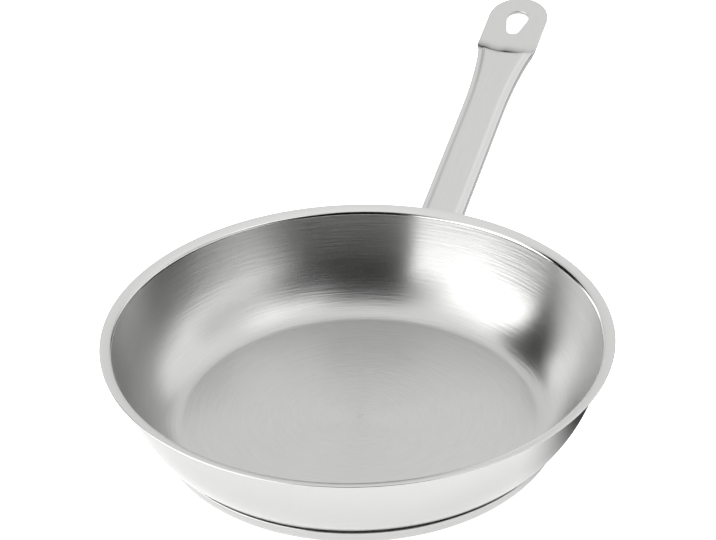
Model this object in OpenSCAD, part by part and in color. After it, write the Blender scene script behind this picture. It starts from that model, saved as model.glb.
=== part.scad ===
// Frying pan: a pressed steel bowl with a pouring rim, an encapsulated aluminium
// base and a pressed steel handle spot welded to the wall.
// Origin: centre of the underside. +Z up, the handle points along +Y.

/* [Pan] */
// Diameter over the edge of the rim
rim_d = 240; // [224:1:256]
// Height from the table to the edge of the rim
pan_h = 52.4; // [46:0.1:60]
// How far the wall flares out, from the edge of the flat floor to its top
wall_flare = 30.4; // [26:0.1:36]
// Thickness of the pressed steel sheet
shell_t = 0.9; // [0.7:0.05:1.4]
// Lean of the wall just under the rim, in degrees from level
wall_tilt = 83; // [76:1:87]
// How far the floor runs on level into the cove
cove_reach = 10.5; // [8:0.1:14]
// How far the wall runs straight down from the rim into the cove
wall_reach = 25.5; // [18:0.1:30]

/* [Pouring rim] */
// Width of the flared rim, from the top of the wall to its edge
lip_w = 5.8; // [4.5:0.1:8]
// Outside radius of the bend from the wall into the rim
lip_bend_r = 1.2; // [0.6:0.1:1.8]
// Slope of the rim where it leaves the bend, in degrees
lip_root_tilt = 28; // [20:1:40]
// Slope of the rim at its edge, in degrees
lip_edge_tilt = 8; // [2:1:14]

/* [Base] */
// Thickness of the aluminium heat spreader
core_t = 3.7; // [3:0.1:6]
// Thickness of each layer of brazing filler
braze_t = 0.15; // [0.1:0.01:0.3]
// Thickness of the steel cap under the base
cap_t = 0.6; // [0.4:0.05:1]
// How far the cap reaches out past the edge of the floor
cap_overhang = 12.3; // [10:0.1:14]
// Radius of the cap's lower edge
cap_corner_r = 9; // [5:0.5:9]
// Height of the groove between the cap's edge and the wall
groove_h = 0.6; // [0.4:0.1:1.2]
// Depth of that groove, in to the heat spreader
groove_depth = 1.2; // [0.8:0.1:2]

/* [Handle] */
// Length of the handle past the rim, along its slope
handle_l = 195.6; // [150:0.1:240]
// Rise of the handle, in degrees from level
handle_slope = 14; // [8:1:20]
// How far the top of the handle lies under the edge of the rim, below that edge
handle_drop = 18.4; // [15:0.1:22]
// Thickness of the handle's steel sheet
handle_t = 2; // [1.5:0.1:2.5]
// Width of the grip
handle_w = 22.4; // [20:0.1:27]
// Depth of the turned-down sides
skirt_h = 4; // [3.2:0.1:7]
// Outside radius along the upper edges
edge_r = 1.1; // [0.6:0.1:1.4]
// Width of the level strip along each side of the grip
flange_w = 2.5; // [2.2:0.1:3.5]
// Height of the raised panel
panel_rise = 0.9; // [0.5:0.1:1.4]
// Width of the slope beside the raised panel
shoulder_w = 2.3; // [1.2:0.1:2.6]
// Outside radius of the bend down to the foot
root_bend_r = 3.5; // [3:0.1:5]

/* [Hanging tab] */
// Length of the flat tab, from its corners to the tip
tab_l = 42.6; // [38:0.1:60]
// Width of the flat tab
tab_w = 32.6; // [29:0.1:38]
// Length over which the grip widens towards the tab
flare_l = 50; // [40:1:70]
// How far the tab's corners stand out past the flare
corner_out = 1.1; // [0.6:0.1:1.8]
// How far the step at the end of the panel bows towards the pan
crease_bow = 3.4; // [1:0.1:5]
// Length of the step at the end of the panel
step_l = 1.8; // [1.2:0.1:3]
// Length of the hanging eye
eye_l = 19.2; // [16:0.1:22]
// Width of the eye at its outer end
eye_w = 11.8; // [9:0.1:14]
// Width of the eye at its inner end
eye_narrow_w = 7; // [5:0.1:8.5]
// Distance from the tip of the tab to the eye
eye_inset = 11.4; // [8:0.1:14]

/* [Foot and welds] */
// Width of the foot that lies against the wall
foot_w = 30; // [28:0.1:36]
// Distance from the groove of the base up to the foot
foot_clear = 1.8; // [1:0.1:4]
// Radius of the foot's lower corners
foot_corner_r = 7; // [4:0.1:7]
// Radius of the foot's upper corners
foot_top_r = 3; // [1.5:0.1:4]
// Diameter of a weld nugget
weld_d = 5; // [4:0.1:5.5]
// Height of a weld nugget, across the joint
weld_h = 1.6; // [1.2:0.1:1.8]
// How deep a nugget reaches into the wall of the pan
weld_sink = 0.45; // [0.3:0.05:0.6]
// Distance between the two upper welds
weld_span = 18; // [14:0.1:20]
// How much closer together the lower welds are
weld_taper = 4; // [0:0.1:5]
// Distance from the edges of the foot, above and below, to the welds
weld_inset = 4; // [3:0.1:4.5]

/* [Hidden] */

steel = "lightsteelblue";
bright_steel = "gainsboro";
aluminium = "darkgray";
filler = "silver";
weld_metal = "dimgray";

round_fn = 128;
small_fn = 48;
wall_steps = 20;
bend_steps = 6;
lip_steps = 4;
edge_steps = 6;
cap_steps = 8;
overrun = pan_h;

// Levels and radii that follow from the sizes above
rim_r = rim_d / 2;
floor_z = cap_t + braze_t + core_t + braze_t + shell_t;
wall_r = rim_r - lip_w;
floor_r = wall_r - wall_flare;
bend_in_r = lip_bend_r + shell_t;
lip_end_r = rim_r - shell_t / 2 * (1 + sin(lip_edge_tilt));
lip_end_z = pan_h - shell_t / 2 * (1 - cos(lip_edge_tilt));
lip_arc_r = (lip_end_r - wall_r - bend_in_r * (sin(wall_tilt) - sin(lip_root_tilt)))
    / (sin(lip_root_tilt) - sin(lip_edge_tilt));
lip_root_z = lip_end_z - lip_arc_r * (cos(lip_edge_tilt) - cos(lip_root_tilt));
wall_z = lip_root_z - bend_in_r * (cos(lip_root_tilt) - cos(wall_tilt));

// Smooth change from 0 to 1 while v goes from a to b
function ease(v, a, b) = let (u = max(0, min(1, (v - a) / (b - a)))) u * u * (3 - 2 * u);

// The shell's inner face is a list of [radius, height, slope]. The wall is a cubic
// curve that leaves the floor level and reaches the rim at the wall's own lean.
function wall_pole(i) = i == 0 ? [floor_r, floor_z]
    : i == 1 ? [floor_r + cove_reach, floor_z]
    : i == 2 ? [wall_r - wall_reach * cos(wall_tilt), wall_z - wall_reach * sin(wall_tilt)]
    : [wall_r, wall_z];
function wall_place(u) = pow(1 - u, 3) * wall_pole(0) + 3 * u * pow(1 - u, 2) * wall_pole(1)
    + 3 * u * u * (1 - u) * wall_pole(2) + pow(u, 3) * wall_pole(3);
function wall_run(u) = pow(1 - u, 2) * (wall_pole(1) - wall_pole(0))
    + 2 * u * (1 - u) * (wall_pole(2) - wall_pole(1)) + u * u * (wall_pole(3) - wall_pole(2));
function wall_point(u) = let (p = wall_place(u), d = wall_run(u)) [p[0], p[1], atan2(d[1], d[0])];
function bend_point(a) = [
    wall_r + bend_in_r * (sin(wall_tilt) - sin(a)),
    wall_z + bend_in_r * (cos(a) - cos(wall_tilt)), a];
function lip_point(a) = [
    lip_end_r - lip_arc_r * (sin(a) - sin(lip_edge_tilt)),
    lip_end_z - lip_arc_r * (cos(lip_edge_tilt) - cos(a)), a];

wall_line = concat([[0, floor_z, 0]], [for (i = [0:wall_steps]) wall_point(i / wall_steps)]);
lip_line = concat(
    [for (i = [1:bend_steps]) bend_point(wall_tilt + (lip_root_tilt - wall_tilt) * i / bend_steps)],
    [for (i = [1:lip_steps]) lip_point(lip_root_tilt + (lip_edge_tilt - lip_root_tilt) * i / lip_steps)]);

// A line set off outwards from the inner face, and the same line read backwards
function set_off(line, out) = [for (p = line) [p[0] + out * sin(p[2]), p[1] - out * cos(p[2])]];
function backwards(list) = [for (i = [len(list) - 1:-1:0]) list[i]];

// The outer face of the wall, as a radius and a slope for each height
outer_line = [for (i = [1:len(wall_line) - 1]) concat(set_off([wall_line[i]], shell_t)[0], wall_line[i][2])];
function wall_r_at(z) = lookup(z, [for (p = outer_line) [p[1], p[0]]]);
function wall_slope_at(z) = lookup(z, [for (p = outer_line) [p[1], p[2]]]);
function wall_z_at(r) = lookup(r, [for (p = outer_line) [p[0], p[1]]]);

// The rim's edge is rounded over the sheet's thickness
function rim_edge() = let (c = set_off([lip_point(lip_edge_tilt)], shell_t / 2)[0])
    [for (i = [1:edge_steps - 1]) let (a = lip_edge_tilt + 90 - 180 * i / edge_steps)
        c + shell_t / 2 * [cos(a), sin(a)]];

cap_r = floor_r + cap_overhang;
groove_z = wall_z_at(cap_r - cap_t);
cap_top_z = groove_z - groove_h;
corner_r = min(cap_corner_r, cap_top_z);
core_r = cap_r - groove_depth;

// Everything under a line that is set off from the shell's inner face
module under_wall(out) {
    line = set_off(wall_line, out);
    polygon(concat(line, [[line[len(line) - 1][0], -overrun], [0, -overrun]]));
}

// Everything inside the cap's outer face once it is moved inwards
module inside_cap(inset, top) {
    arc_r = corner_r - inset;
    arc = [for (i = [0:cap_steps]) let (a = 90 * i / cap_steps)
        [cap_r - corner_r + arc_r * sin(a), corner_r - arc_r * cos(a)]];
    polygon(concat([[0, inset]], arc, [[cap_r - inset, top], [0, top]]));
}

module core_reach() {
    square([core_r, overrun]);
}

module pan_body() {
    color(bright_steel)
    difference() {
        rotate_extrude($fn = round_fn)
        polygon(concat(set_off(wall_line, 0), set_off(lip_line, 0), rim_edge(),
            backwards(concat(set_off(wall_line, shell_t), set_off(lip_line, shell_t)))));
        all_welds();
    }
}

module upper_braze_layer() {
    color(filler)
    rotate_extrude($fn = round_fn)
    intersection() {
        difference() {
            under_wall(shell_t);
            under_wall(shell_t + braze_t);
        }
        core_reach();
    }
}

module heat_core() {
    color(aluminium)
    rotate_extrude($fn = round_fn)
    intersection() {
        under_wall(shell_t + braze_t);
        inside_cap(cap_t + braze_t, overrun);
        core_reach();
    }
}

module lower_braze_layer() {
    color(filler)
    rotate_extrude($fn = round_fn)
    intersection() {
        difference() {
            inside_cap(cap_t, overrun);
            inside_cap(cap_t + braze_t, overrun);
        }
        under_wall(shell_t + braze_t);
        core_reach();
    }
}

module base_cap() {
    color(steel)
    rotate_extrude($fn = round_fn)
    difference() {
        inside_cap(0, cap_top_z);
        inside_cap(cap_t, overrun);
    }
}

// The handle's own frame starts on its top face, right under the rim's edge. Its Y runs
// along the handle, its Z stands square to the raised panel.
top_at_rim_z = pan_h - handle_drop;
root_guess_z = top_at_rim_z - (rim_r - wall_r_at(top_at_rim_z)) * tan(handle_slope);
root_y = wall_r_at(root_guess_z);
root_z = top_at_rim_z - (rim_r - root_y) * tan(handle_slope);
root_s = (root_y - rim_r) / cos(handle_slope);
foot_face_s = root_s + handle_t;
foot_lap = handle_t / 2;
corner_s = handle_l - tab_l;
flare_s = corner_s - flare_l;
tab_joint_s = corner_s + tab_l / 5;
tab_skirt_h = handle_t;
tab_edge_r = handle_t / 10;
bow_l = flare_l / 2;

module in_handle_frame() {
    translate([0, rim_r, top_at_rim_z]) rotate([handle_slope, 0, 0]) children();
}

// Half the handle's width, the share of the panel's rise, the depth of the sides and the
// radius of the edges, each at a distance s along the handle
flare_power = 2;
corner_power = 16;
flare_out = (tab_w - handle_w) / 2 - corner_out;
function widening(s) = let (u = max(0, min(1, (s - flare_s) / flare_l)))
    flare_out * pow(u, flare_power) + corner_out * pow(u, corner_power);
function half_w(s) = handle_w / 2 + widening(s);
function rise_share(s) = 1 - ease(s, corner_s - step_l, corner_s);
function skirt_at(s) = tab_skirt_h + (skirt_h - tab_skirt_h) * (1 - ease(s, corner_s - 2 * step_l, corner_s));
function edge_r_at(s) = tab_edge_r + (edge_r - tab_edge_r) * (1 - ease(s, corner_s - 2 * step_l, corner_s));
function bow_share(s) = ease(s, corner_s - bow_l, corner_s - step_l) * (1 - ease(s, corner_s, tab_joint_s));

// The sheet bends down to the foot round one centre, its top with the outer radius and its
// underside with the inner one. Past the bend the underside laps into the foot.
inner_bend_r = root_bend_r - handle_t;
function bend_drop(s, end_s, r) = s >= end_s + r ? 0
    : s <= end_s ? r
    : r - sqrt(pow(r, 2) - pow(end_s + r - s, 2));
function top_drop(s) = bend_drop(s, root_s, root_bend_r);
function under_drop(s) = bend_drop(s, foot_face_s, inner_bend_r) + (s < foot_face_s ? foot_lap : 0);

// Half of the section, from the lower edge of the outer side over the top to the middle,
// then back under the sheet. Each point is [across, up].
function outer_half(s) = let (w = half_w(s), r = edge_r_at(s), foot_x = w - flange_w,
        low = -panel_rise, up = -panel_rise * (1 - rise_share(s)))
    [[w, low - skirt_at(s)], [w, low - r], [w - r * (1 - cos(45)), low - r * (1 - sin(45))],
        [w - r, low], [foot_x, low], [foot_x - shoulder_w, up]];
under_shift = handle_t * tan(atan(panel_rise / shoulder_w) / 2);
fillet_steps = 3;
function inner_half(s) = let (w = half_w(s) - handle_t, foot_x = half_w(s) - flange_w - under_shift,
        low = -panel_rise - handle_t, up = -panel_rise * (1 - rise_share(s)) - handle_t,
        deep = skirt_at(s) - handle_t, fillet_w = (w - foot_x) / 2)
    concat([for (i = [0:fillet_steps]) let (u = i / fillet_steps) [w - fillet_w * u, low - deep * pow(1 - u, 2)]],
        [[foot_x, low], [foot_x - shoulder_w, up]]);
function both_halves(list) = concat(list, [for (p = backwards(list)) [-p[0], p[1]]]);
function lowered(list, drop) = [for (p = list) [p[0], p[1] - drop]];
function section(s) = concat(both_halves(lowered(outer_half(s), top_drop(s))),
    backwards(both_halves(lowered(inner_half(s), under_drop(s)))));
function ring(s) = let (w = half_w(s))
    [for (p = section(s)) [p[0], s - crease_bow * bow_share(s) * (1 - pow(p[0] / w, 2)), p[1]]];

// Stations along the handle, close together where the shape changes
root_steps = 5;
bend_gap = handle_t / 10;
flare_steps = 16;
step_steps = 6;
joint_steps = 3;
stations = concat(
    [root_s - 2 * handle_t],
    [for (i = [0:root_steps]) root_s + (handle_t - bend_gap) * (1 - cos(90 * i / root_steps))],
    [for (i = [0:root_steps]) foot_face_s + inner_bend_r * (1 - cos(90 * i / root_steps))],
    [for (i = [0:flare_steps]) flare_s + (flare_l - 2 * step_l) * i / flare_steps],
    [for (i = [1:step_steps]) corner_s - 2 * step_l * (1 - i / step_steps)],
    [for (i = [1:joint_steps]) corner_s + (tab_joint_s - corner_s) * i / joint_steps]);

// One closed skin through all the rings. The first half of a ring runs over the sheet and
// the second half back under it, so each end is closed by a strip across the sheet.
module skin(rings) {
    n = len(rings[0]);
    last = len(rings) - 1;
    sides = [for (k = [0:last - 1], i = [0:n - 1]) let (a = k * n + i, b = k * n + (i + 1) % n)
        each [[a, b, a + n], [b, b + n, a + n]]];
    ends = [for (i = [0:n / 2 - 2]) let (a = i, b = i + 1, c = n - 2 - i, d = n - 1 - i)
        each [[c, b, a], [d, c, a], [a + last * n, b + last * n, c + last * n], [a + last * n, c + last * n, d + last * n]]];
    polyhedron(points = [for (r = rings) each r], faces = concat(sides, ends), convexity = 6);
}

// The egg-shaped eye: a wide end, a narrow end and the two lines that touch both
module eye_outline() {
    wide_r = eye_w / 2;
    narrow_r = eye_narrow_w / 2;
    wide_s = handle_l - eye_inset - wide_r;
    narrow_s = handle_l - eye_inset - eye_l + narrow_r;
    lean = asin((wide_r - narrow_r) / (wide_s - narrow_s));
    translate([0, wide_s]) circle(wide_r, $fn = small_fn);
    translate([0, narrow_s]) circle(narrow_r, $fn = small_fn);
    polygon([
        [wide_r * cos(lean), wide_s - wide_r * sin(lean)],
        [narrow_r * cos(lean), narrow_s - narrow_r * sin(lean)],
        [-narrow_r * cos(lean), narrow_s - narrow_r * sin(lean)],
        [-wide_r * cos(lean), wide_s - wide_r * sin(lean)]]);
}

module tab() {
    tip_s = handle_l - tab_w / 2;
    translate([0, 0, -panel_rise - handle_t])
    linear_extrude(handle_t)
    difference() {
        union() {
            translate([-tab_w / 2, tab_joint_s]) square([tab_w, tip_s - tab_joint_s]);
            translate([0, tip_s]) circle(tab_w / 2, $fn = round_fn);
        }
        eye_outline();
    }
}

// The foot is the part of the sheet that follows the wall below the bend
foot_top_z = root_z - root_bend_r;
foot_h = foot_top_z - groove_z - foot_clear;
foot_low_r = min(foot_corner_r, foot_h - foot_top_r);
module foot() {
    intersection() {
        rotate_extrude($fn = round_fn)
        difference() {
            under_wall(shell_t);
            under_wall(shell_t + handle_t);
        }
        translate([0, rim_r, foot_top_z]) rotate([90, 0, 0])
        linear_extrude(rim_r) foot_outline();
    }
}

module foot_outline() {
    half = foot_w / 2;
    for (side = [-1, 1]) {
        translate([side * (half - foot_top_r), -foot_top_r]) circle(foot_top_r, $fn = small_fn);
        translate([side * (half - foot_low_r), foot_low_r - foot_h]) circle(foot_low_r, $fn = small_fn);
    }
    translate([foot_top_r - half, -foot_h / 2]) square([foot_w - 2 * foot_top_r, foot_h / 2]);
    translate([-half, foot_low_r - foot_h]) square([foot_w, foot_h - foot_low_r - foot_top_r]);
    translate([foot_low_r - half, -foot_h]) square([foot_w - 2 * foot_low_r, foot_h]);
}

module handle() {
    color(bright_steel)
    difference() {
        union() {
            in_handle_frame() {
                skin([for (s = stations) ring(s)]);
                tab();
            }
            foot();
        }
        rotate_extrude($fn = round_fn) pan_space();
        all_welds();
    }
}

// The whole space inside the outer face of the wall
module pan_space() {
    line = set_off(wall_line, shell_t);
    polygon(concat(line, [[0, wall_z]]));
}

// Each nugget of fused metal lies across the joint, square to the wall. The first two are
// the upper ones, the other two the lower ones.
weld_count = 4;
weld_pitch = foot_h - 2 * weld_inset;
module weld_nugget(n) {
    row = floor((n - 1) / 2);
    side = n % 2 == 0 ? 1 : -1;
    z = foot_top_z - weld_inset - row * weld_pitch;
    r = wall_r_at(z);
    turn = asin(side * (weld_span - row * weld_taper) / 2 / r);
    color(weld_metal)
    rotate([0, 0, -turn]) translate([0, r, z]) rotate([180 + wall_slope_at(z), 0, 0])
    translate([0, 0, -weld_sink]) cylinder(d = weld_d, h = weld_h, $fn = small_fn);
}

module all_welds() {
    for (n = [1:weld_count]) weld_nugget(n);
}

pan_body();
upper_braze_layer();
heat_core();
lower_braze_layer();
base_cap();
handle();
for (n = [1:weld_count])
    weld_nugget(n);
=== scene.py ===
"""The looks of a steel frying pan: a brushed bowl with a satin pouring rim and a polished
outside, a pressed base cap and a satin steel handle with a flat hanging tab.

Lengths are in metres. The handle's own frame starts on its top face under the rim's edge:
across is x, along is s, and up is h, square to the raised panel."""

import math

import bmesh
import bpy
import numpy as np
from mathutils import Matrix, Vector


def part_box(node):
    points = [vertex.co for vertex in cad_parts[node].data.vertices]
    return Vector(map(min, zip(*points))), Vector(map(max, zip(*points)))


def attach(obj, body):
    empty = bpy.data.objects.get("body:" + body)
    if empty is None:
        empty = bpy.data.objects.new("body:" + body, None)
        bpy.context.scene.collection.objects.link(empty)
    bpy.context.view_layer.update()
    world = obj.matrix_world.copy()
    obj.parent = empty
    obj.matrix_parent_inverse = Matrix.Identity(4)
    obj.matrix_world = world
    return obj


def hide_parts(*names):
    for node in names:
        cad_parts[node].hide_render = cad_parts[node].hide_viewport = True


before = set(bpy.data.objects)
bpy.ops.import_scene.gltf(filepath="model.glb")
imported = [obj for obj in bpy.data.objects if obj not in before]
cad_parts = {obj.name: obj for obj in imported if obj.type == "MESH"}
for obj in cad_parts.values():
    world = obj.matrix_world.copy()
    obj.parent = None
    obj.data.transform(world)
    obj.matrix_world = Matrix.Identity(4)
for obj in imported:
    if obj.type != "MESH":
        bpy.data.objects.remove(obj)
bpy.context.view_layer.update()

bl_info = {
    "name": "Frying pan",
    "version": (1, 0, 0),
    "blender": (4, 5, 0),
    "location": "3D Viewport > Sidebar > Frying pan",
    "description": "Builds a steel frying pan, its finishes and a studio around its frame",
    "category": "Object",
}

MM = 0.001
BODY = "root"
bowl_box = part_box("pan_body")
cap_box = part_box("base_cap")


def rounded(length):
    """A length of the frame, to a tenth of a millimetre."""
    return round(length / MM, 1) * MM


def length(name, description, default):
    return bpy.props.FloatProperty(
        name=name, description=description, default=default, min=0.0, unit="LENGTH", precision=5
    )


def angle(name, description, degrees):
    return bpy.props.FloatProperty(
        name=name, description=description, default=math.radians(degrees), subtype="ANGLE"
    )


def share(name, description, default):
    return bpy.props.FloatProperty(
        name=name, description=description, default=default, min=0.0, max=1.0, subtype="FACTOR"
    )


def linear(hex_colour):
    """An sRGB colour such as #c8c8c6 as linear red, green and blue."""
    values = [int(hex_colour[i : i + 2], 16) / 255 for i in (1, 3, 5)]
    return [v / 12.92 if v <= 0.04045 else ((v + 0.055) / 1.055) ** 2.4 for v in values]


def colour(name, description, hex_colour):
    return bpy.props.FloatVectorProperty(
        name=name, description=description, default=linear(hex_colour),
        size=3, min=0.0, max=1.0, subtype="COLOR",
    )


class PanBowlSizes(bpy.types.PropertyGroup):
    """Sizes of the pressed bowl and its pouring rim"""

    rim_r: length("Rim radius", "Radius over the edge of the rim", rounded(bowl_box[1].x))
    height: length("Height", "Height from the table to the edge of the rim", rounded(bowl_box[1].z))
    sheet: length("Sheet", "Thickness of the pressed sheet", 0.9 * MM)
    floor_z: length("Floor", "Height of the floor over the table", 5.5 * MM)
    flare: length("Flare", "How far the wall flares out from the floor to its top", 30.4 * MM)
    cove: length("Cove", "How far the floor runs on level into the cove", 10.5 * MM)
    reach: length("Reach", "How far the wall runs straight down into the cove", 25.5 * MM)
    tilt: angle("Lean", "Lean of the wall under the rim, from level", 83)
    lip: length("Rim width", "Width of the flared rim", 5.8 * MM)
    bend_r: length("Rim bend", "Outside radius of the bend into the rim", 1.2 * MM)
    root_tilt: angle("Rim root", "Slope of the rim where it leaves the bend", 28)
    edge_tilt: angle("Rim edge", "Slope of the rim at its edge", 8)


class PanCapSizes(bpy.types.PropertyGroup):
    """Sizes of the steel cap pressed over the base"""

    radius: length("Radius", "Radius of the cap", rounded(cap_box[1].x))
    top_z: length("Height", "Height of the cap's upper edge", cap_box[1].z)
    sheet: length("Sheet", "Thickness of the cap", 0.6 * MM)
    corner_r: length("Corner", "Radius of the lower edge", 9 * MM)


class PanHandleSizes(bpy.types.PropertyGroup):
    """Sizes of the pressed handle, its foot and its hanging tab"""

    reach: length("Length", "Length past the rim, along the slope", 195.6 * MM)
    slope: angle("Rise", "Rise of the handle from level", 14)
    drop: length("Drop", "How far its top lies under the edge of the rim there", 18.4 * MM)
    sheet: length("Sheet", "Thickness of the handle's sheet", 2 * MM)
    width: length("Width", "Width of the grip", 22.4 * MM)
    skirt: length("Sides", "Depth of the turned-down sides", 4 * MM)
    edge_r: length("Edge radius", "Radius along the upper edges of the grip", 1.1 * MM)
    tab_edge_r: length("Tab edge radius", "Radius along the edges of the tab and its eye", 0.4 * MM)
    burr_r: length("Lower edge radius", "Radius along the lower edges of the sides", 0.5 * MM)
    flange: length("Level strip", "Width of the level strip along each side", 2.5 * MM)
    rise: length("Panel rise", "Height of the raised panel", 0.9 * MM)
    shoulder: length("Shoulder", "Width of the slope beside the panel", 2.3 * MM)
    bend_r: length("Root bend", "Outside radius of the bend down to the foot", 3.5 * MM)
    tab: length("Tab length", "Length of the flat tab", 42.6 * MM)
    tab_width: length("Tab width", "Width of the flat tab", 32.6 * MM)
    flare: length("Flare", "Length over which the grip widens", 50 * MM)
    corner_out: length("Corners", "How far the tab's corners stand out", 1.1 * MM)
    bow: length("Crease bow", "How far the crease bows towards the pan", 3.4 * MM)
    step: length("Step", "Length of the step at the end of the panel", 1.8 * MM)
    crease: length("Crease depth", "Depth of the crease at the foot of the step", 0.5 * MM)
    eye: length("Eye length", "Length of the hanging eye", 19.2 * MM)
    eye_width: length("Eye width", "Width of the eye at its outer end", 11.8 * MM)
    eye_narrow: length("Eye inner width", "Width of the eye at its inner end", 7 * MM)
    eye_inset: length("Eye inset", "Distance from the tip to the eye", 11.4 * MM)
    foot_width: length("Foot width", "Width of the foot on the wall", 30 * MM)
    foot_clear: length("Foot clearance", "Distance from the groove up to the foot", 1.8 * MM)
    foot_corner_r: length("Foot lower corners", "Radius of the foot's lower corners", 7 * MM)
    foot_top_r: length("Foot upper corners", "Radius of the foot's upper corners", 3 * MM)
    weld_d: length("Weld diameter", "Diameter of a weld mark", 5 * MM)
    weld_span: length("Weld span", "Distance between the two upper welds", 18 * MM)
    weld_taper: length("Weld taper", "How much closer the lower welds are", 4 * MM)
    weld_inset: length("Weld inset", "Distance from the foot's edges to the welds", 4 * MM)


class PanFinishes(bpy.types.PropertyGroup):
    """Colours and polish of the metals"""

    steel: colour("Steel", "Colour of the stainless steel", "#c7c7c6")
    satin_tone: colour("Satin steel", "Colour of the satin rim and handle", "#cfcfce")
    brushed: share("Brushed roughness", "Roughness of the brushed inside", 0.28)
    polished: share("Polished roughness", "Roughness of the polished outside", 0.14)
    satin: share("Satin roughness", "Roughness of the satin rim and handle", 0.29)
    aluminium: colour("Aluminium", "Colour of the heat spreader's edge", "#b9bbbd")
    filler: colour("Filler", "Colour of the brazing filler", "#a9a8a2")
    weld: colour("Weld", "Colour of the welded metal", "#8d8a86")


class PanStudio(bpy.types.PropertyGroup):
    """The camera and the light"""

    turn: angle("Camera turn", "How far the camera stands round from the handle's line", 18.56)
    elevation: angle("Camera elevation", "How high the camera stands over the rim", 33.03)
    distance: length("Camera distance", "Distance from the camera to the rim's centre", 1211.04 * MM)
    pan: angle("Pan", "Small turn of the camera to the right", -0.06)
    raise_view: angle("Raise", "Small turn of the camera upwards", 1.40)
    roll: angle("Roll", "Small roll of the camera", -1.59)
    lens: bpy.props.FloatProperty(name="Lens", description="Focal length in millimetres", default=130.73)
    floor_glow: share("Floor glow", "How much the white floor shines by itself", 0.68)


def ease(v, a, b):
    """A smooth change from 0 to 1 while v goes from a to b."""
    u = np.clip((v - a) / (b - a), 0, 1)
    return u * u * (3 - 2 * u)


def add_node(tree, kind, inputs=None, **settings):
    """Adds a node. An input that is a socket is linked, any other is set."""
    node = tree.nodes.new(kind)
    for key, value in settings.items():
        setattr(node, key, value)
    for key, value in (inputs or {}).items():
        if isinstance(value, bpy.types.NodeSocket):
            tree.links.new(value, node.inputs[key])
        else:
            node.inputs[key].default_value = value
    return node


def sheet_grid(rows, columns, start=0, around=False):
    """Faces of a grid of rows and columns, counted row by row from the index start. Each is
    (row, column), (row, column + 1), (row + 1, column + 1), (row + 1, column)."""
    columns_used = columns if around else columns - 1
    i, j = np.meshgrid(np.arange(rows - 1), np.arange(columns_used), indexing="ij")
    k = (j + 1) % columns
    corners = [i * columns + j, i * columns + k, (i + 1) * columns + k, (i + 1) * columns + j]
    return np.stack(corners, -1).reshape(-1, 4) + start


def fan(middle, ring):
    """Triangles from the point middle to each pair of neighbours round a closed ring."""
    return np.stack([np.full(len(ring), middle), ring, np.roll(ring, -1)], -1)


def new_piece(name, points, faces, materials, zones=None):
    """A mesh object from points and faces. zones gives the material of each face."""
    mesh = bpy.data.meshes.new(name)
    places = np.asarray(points, float).reshape(-1, 3).tolist()
    mesh.from_pydata(places, [], [list(map(int, f)) for f in faces])
    for material in materials:
        mesh.materials.append(material)
    if zones is not None:
        mesh.polygons.foreach_set("material_index", np.asarray(zones, np.int32))
    mesh.polygons.foreach_set("use_smooth", np.ones(len(mesh.polygons), bool))
    mesh.update()
    piece = bpy.data.objects.new(name, mesh)
    bpy.context.scene.collection.objects.link(piece)
    return piece


def weld_and_check(piece, gap=0.001 * MM):
    """Joins points that coincide, and raises an error where the skin is open or inside out."""
    work = bmesh.new()
    work.from_mesh(piece.data)
    bmesh.ops.remove_doubles(work, verts=work.verts, dist=gap)
    bmesh.ops.dissolve_degenerate(work, edges=work.edges, dist=gap / 10)
    open_edges = sum(1 for e in work.edges if len(e.link_faces) != 2)
    volume = work.calc_volume(signed=True)
    work.to_mesh(piece.data)
    work.free()
    piece.data.update()
    if open_edges or volume <= 0:
        raise RuntimeError(f"{piece.name}: {open_edges} open edges, volume {volume / MM**3:.0f} mm3")


def place_piece(piece, slot, *nodes):
    """The piece rides on the pan and hides its nodes; slot is not used."""
    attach(piece, BODY)
    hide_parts(*nodes)


# Surfaces of revolution


def turned_skin(profile, turns):
    """Points and faces of a profile turned about the upright axis, and each face's row. The
    profile's point (r, z) at the angle a is (r cos a, r sin a, z), and its ends lie on the axis."""
    a = np.arange(turns) * 2 * np.pi / turns
    r, z = profile[1:-1, 0, None], profile[1:-1, 1, None]
    rings = np.stack([r * np.cos(a), r * np.sin(a), z + 0 * a], -1).reshape(-1, 3)
    points = np.vstack([rings, [0, 0, profile[0, 1]], [0, 0, profile[-1, 1]]])
    sides = sheet_grid(len(profile) - 2, turns, around=True)[:, [0, 3, 2, 1]]
    j = np.arange(turns)
    first_fan = fan(len(rings), j)
    last_fan = fan(len(rings) + 1, (len(profile) - 3) * turns + j)[:, [0, 2, 1]]
    rows = np.repeat(np.arange(1, len(profile) - 2), turns)
    rows = np.concatenate([rows, np.zeros(turns), np.full(turns, len(profile) - 2)])
    return points, [*sides, *first_fan, *last_fan], rows.astype(int)


WALL_STEPS, BEND_STEPS, LIP_STEPS, EDGE_STEPS, FLOOR_STEPS = 56, 10, 10, 10, 8
TURNS = 384


def even_slopes(first, last, steps):
    """Slopes in even steps, from just after the first to the last."""
    return first + (last - first) * np.arange(1, steps + 1) / steps


def arc_rows(r, z, radius, slope, a):
    """Rows of radius, height and slope along an arc, one for each slope in a. The arc passes
    (r, z) at the given slope."""
    return np.c_[r + radius * (math.sin(slope) - np.sin(a)), z + radius * (np.cos(a) - math.cos(slope)), a]


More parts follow.
